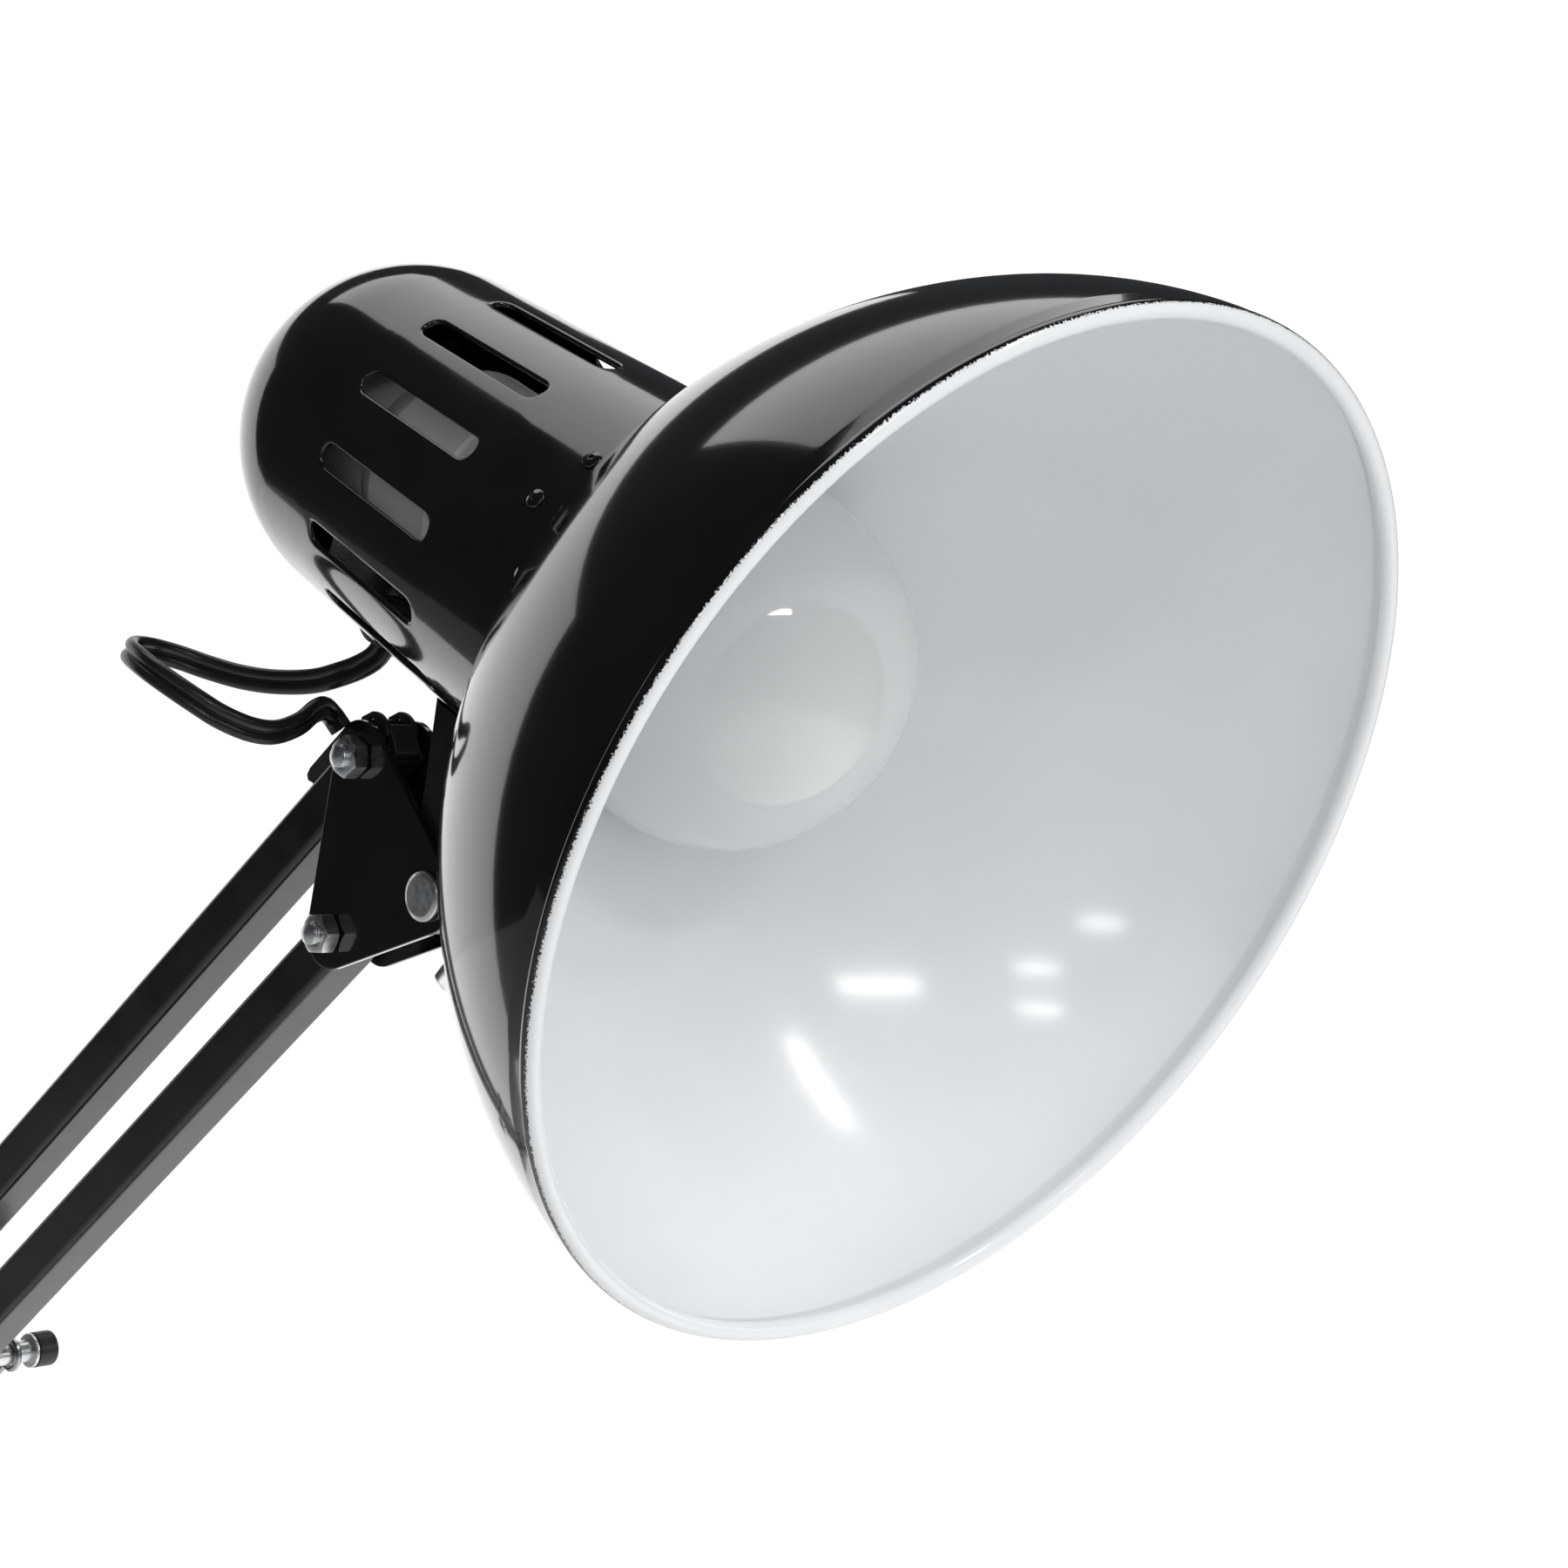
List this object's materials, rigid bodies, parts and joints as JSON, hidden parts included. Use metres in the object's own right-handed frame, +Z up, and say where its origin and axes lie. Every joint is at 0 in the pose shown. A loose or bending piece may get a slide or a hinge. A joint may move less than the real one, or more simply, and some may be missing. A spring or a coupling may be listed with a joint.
{
  "type": "swing arm desk lamp",
  "caption": "Swing-arm desk lamp: a bowl shade with a vented rear housing on two spring-balanced parallelogram arms, on a round weighted swivel base with a switched lead.",
  "frame": {"origin": "centre of the round base's underside, on the desk", "axes": "+Z up; the arms swing in the XZ plane and the head points along +X and down; every arm pivot's axis runs along Y"},
  "size_m": [0.6388, 0.2157, 0.8356],
  "materials": {
    "black_gloss": "gloss",
    "black_satin": "satin",
    "zinc": "satin",
    "cast_iron": "matte",
    "pale_plastic": "satin",
    "black_plastic": "satin",
    "black_rubber": "matte",
    "flex_sheath": "satin",
    "opal_glass": "gloss"
  },
  "bodies": {
    "base": {"base_pad": "black_rubber", "base_weight": "cast_iron", "base_cover": "black_gloss", "base_socket": "black_satin", "flex_clip": "black_plastic", "supply_flex": "flex_sheath", "supply_coil": "flex_sheath", "switch_body": "black_plastic", "plug": "black_rubber"},
    "lock_screw": {"lock_screw": "black_plastic"},
    "switch_rocker": {"switch_rocker": "black_plastic"},
    "base_bracket": {"swivel_post": "zinc", "base_plate_near": "black_satin", "base_plate_far": "black_satin", "base_front_bolt": "zinc", "base_rear_bolt": "zinc", "base_anchor_pin": "zinc", "base_flex": "flex_sheath", "swivel_flex": "flex_sheath"},
    "lower_rear": {"lower_rear_bar": "black_satin", "lower_arm_flex": "flex_sheath"},
    "lower_front": {"lower_front_bar": "black_satin", "lower_spring_pin": "zinc", "lower_spring_near": "zinc", "lower_spring_far": "zinc"},
    "elbow": {"elbow_plate_near": "black_satin", "elbow_plate_far": "black_satin", "elbow_front_bolt": "zinc", "elbow_rear_bolt": "zinc", "elbow_middle_bolt": "zinc", "elbow_top_bolt": "zinc", "elbow_anchor_pin": "zinc", "elbow_flex_upper": "flex_sheath", "elbow_flex_lower": "flex_sheath"},
    "upper_top": {"upper_top_bar": "black_satin", "cord_guide": "black_plastic", "upper_arm_flex": "flex_sheath"},
    "upper_bottom": {"upper_bottom_bar": "black_satin", "upper_spring_pin": "zinc", "upper_spring_near": "zinc", "upper_spring_far": "zinc"},
    "head_bracket": {"head_plate_near": "black_satin", "head_plate_far": "black_satin", "head_top_bolt": "zinc", "head_bottom_bolt": "zinc", "tilt_bolt": "zinc", "tilt_washer": "zinc", "head_flex_end": "flex_sheath"},
    "wing_nut": {"wing_nut": "zinc"},
    "head": {"head_lug": "black_satin", "lug_screw_front": "zinc", "lug_screw_rear": "zinc", "holder_strap": "zinc", "lampholder": "pale_plastic", "housing": "black_gloss", "shade": "black_gloss", "bulb_globe": "opal_glass", "bulb_cap": "zinc", "grommet": "black_rubber", "head_loop_flex": "flex_sheath"}
  },
  "joints": [
    {"name": "base_swivel", "type": "hinge", "parent": "base", "child": "base_bracket", "pos_m": [0, 0, 0.048], "axis": [0, 0, 1], "range_deg": [-150, 150], "deforming": ["swivel_flex"]},
    {"name": "lower_arm", "type": "hinge", "parent": "base_bracket", "child": "lower_rear", "pos_m": [-0.014, 0, 0.082], "axis": [0, 1, 0], "range_deg": [-10, 55], "deforming": ["base_flex", "lower_spring_near", "lower_spring_far"]},
    {"name": "lower_front_follow", "type": "hinge", "parent": "base_bracket", "child": "lower_front", "pos_m": [0.012, 0, 0.082], "axis": [0, 1, 0], "range_deg": [-10, 55], "deforming": ["lower_spring_near", "lower_spring_far"]},
    {"name": "elbow_level", "type": "hinge", "parent": "lower_rear", "child": "elbow", "pos_m": [-0.11494, 0, 0.45871], "axis": [0, 1, 0], "range_deg": [-55, 10], "deforming": ["elbow_flex_lower"]},
    {"name": "upper_arm", "type": "hinge", "parent": "elbow", "child": "upper_top", "pos_m": [-0.08626, 0, 0.52164], "axis": [0, -1, 0], "range_deg": [-65, 18], "deforming": ["elbow_flex_upper", "upper_spring_near", "upper_spring_far"]},
    {"name": "upper_bottom_follow", "type": "hinge", "parent": "elbow", "child": "upper_bottom", "pos_m": [-0.09494, 0, 0.48871], "axis": [0, -1, 0], "range_deg": [-65, 18], "deforming": ["upper_spring_near", "upper_spring_far"]},
    {"name": "head_level", "type": "hinge", "parent": "upper_top", "child": "head_bracket", "pos_m": [0.23321, 0, 0.74533], "axis": [0, -1, 0], "range_deg": [-18, 65], "deforming": ["head_flex_end", "head_loop_flex"]},
    {"name": "head_tilt", "type": "hinge", "parent": "head_bracket", "child": "head", "pos_m": [0.25313, 0, 0.72], "axis": [0, -1, 0], "range_deg": [-60, 22], "deforming": ["head_loop_flex", "head_flex_end"]},
    {"name": "wing_nut_turn", "type": "hinge", "parent": "head_bracket", "child": "wing_nut", "pos_m": [0.25313, 0.0125, 0.72], "axis": [0, 1, 0], "continuous": true},
    {"name": "lock_screw_turn", "type": "hinge", "parent": "base", "child": "lock_screw", "pos_m": [-0.019, 0, 0.038], "axis": [1, 0, 0], "continuous": true},
    {"name": "switch_rock", "type": "hinge", "parent": "base", "child": "switch_rocker", "pos_m": [-0.15, 0, 0.0129], "axis": [0, 1, 0], "range_deg": [-12, 0]}
  ],
  "couplings": [
    {"joint": "lower_front_follow", "follows": "lower_arm", "ratio": 1},
    {"joint": "elbow_level", "follows": "lower_arm", "ratio": -1},
    {"joint": "upper_bottom_follow", "follows": "upper_arm", "ratio": 1},
    {"joint": "head_level", "follows": "upper_arm", "ratio": -1}
  ]
}
